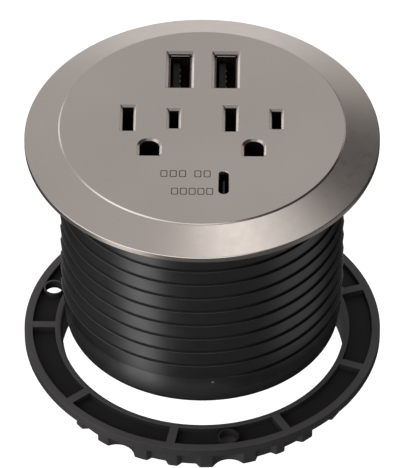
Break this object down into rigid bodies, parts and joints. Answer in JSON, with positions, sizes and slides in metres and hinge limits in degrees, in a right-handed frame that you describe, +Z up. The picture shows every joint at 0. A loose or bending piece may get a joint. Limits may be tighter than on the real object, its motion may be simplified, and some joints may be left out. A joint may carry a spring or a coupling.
{
  "type": "in-desk power and usb grommet",
  "caption": "Round in-desk power unit: bevelled metal trim with outlets and USB ports, threaded black housing below, and a ribbed ring nut that screws up to clamp the desk top.",
  "frame": {"origin": "centre of the trim flange's flat underside, on the housing axis, where the unit rests on the desk surface", "axes": "+Z up along the housing axis, out of the desk; -Y towards the user, the side of the USB-C port; +X to the user's right"},
  "size_m": [0.1008, 0.1008, 0.0885],
  "materials": {
    "aluminium": "plain extruded",
    "barrier_white": "natural insulating board",
    "black_housing": "smooth satin black moulding",
    "black_insert": "matt black moulding",
    "black_nut": "fine matt black moulding",
    "board_green": "glass laminate with solder mask",
    "brass": "stamped spring brass",
    "bright_steel": "bright plated",
    "capacitor_sleeve": "shrink sleeve",
    "chip_black": "moulded epoxy",
    "ferrite": "dark ceramic",
    "fuse_glass": "clear tube",
    "gasket_foam": "soft black foam",
    "grey_tongue": "matt grey moulding",
    "lead_ground": "wire insulation",
    "lead_line": "wire insulation",
    "lead_neutral": "wire insulation",
    "nylon_black": "black nylon",
    "satin_metal": "fine satin warm nickel grey",
    "terminal_grey": "grey moulding",
    "winding_tape": "yellow insulating tape"
  },
  "bodies": {
    "unit": {"board_screw_1": "bright_steel", "board_screw_2": "bright_steel", "board_screw_3": "bright_steel", "bottom_cover": "black_insert", "bridge_rectifier": "chip_black", "bulk_capacitor_1": "capacitor_sleeve", "bulk_capacitor_2": "capacitor_sleeve", "carrier_screw_1": "bright_steel", "carrier_screw_2": "bright_steel", "carrier_screw_3": "bright_steel", "carrier_screw_4": "bright_steel", "charger_board": "board_green", "choke_base": "chip_black", "contact_carrier": "barrier_white", "controller_chip": "chip_black", "cord_gland": "nylon_black", "cover_screw_1": "bright_steel", "cover_screw_2": "bright_steel", "cover_screw_3": "bright_steel", "face_plate": "satin_metal", "filter_choke": "winding_tape", "fuse_cap_1": "bright_steel", "fuse_cap_2": "bright_steel", "fuse_tube": "fuse_glass", "gland_locknut": "nylon_black", "ground_contact": "brass", "ground_lead": "lead_ground", "heat_sink": "aluminium", "insulating_barrier": "barrier_white", "line_contact": "brass", "line_lead": "lead_line", "neutral_contact": "brass", "neutral_lead": "lead_neutral", "outlet_insert_left": "black_insert", "outlet_insert_right": "black_insert", "output_capacitor_1": "capacitor_sleeve", "output_capacitor_2": "capacitor_sleeve", "output_capacitor_3": "capacitor_sleeve", "plate_screw_1": "bright_steel", "plate_screw_2": "bright_steel", "plate_screw_3": "bright_steel", "socket_block": "black_insert", "terminal_block": "terminal_grey", "threaded_housing": "black_housing", "transformer_core": "ferrite", "transformer_winding": "winding_tape", "usb_a_board": "board_green", "usb_a_shell_left": "bright_steel", "usb_a_shell_right": "bright_steel", "usb_a_tongue_left": "black_insert", "usb_a_tongue_right": "black_insert", "usb_c_board": "board_green", "usb_c_shell": "bright_steel", "usb_c_tongue": "grey_tongue"},
    "turning_ring": {"flange_gasket": "gasket_foam"},
    "clamp_nut": {"clamp_ring_nut": "black_nut"}
  },
  "joints": [
    {"name": "nut_turn", "type": "hinge", "parent": "unit", "child": "turning_ring", "pos_m": [0, 0, 0], "axis": [0, 0, 1], "range_deg": [0, 4536]},
    {"name": "nut_travel", "type": "slide", "parent": "turning_ring", "child": "clamp_nut", "axis": [0, 0, 1], "range_m": [0, 0.06426]}
  ],
  "couplings": [
    {"joint": "nut_travel", "follows": "nut_turn", "m_per_rad": 0.00081169}
  ]
}
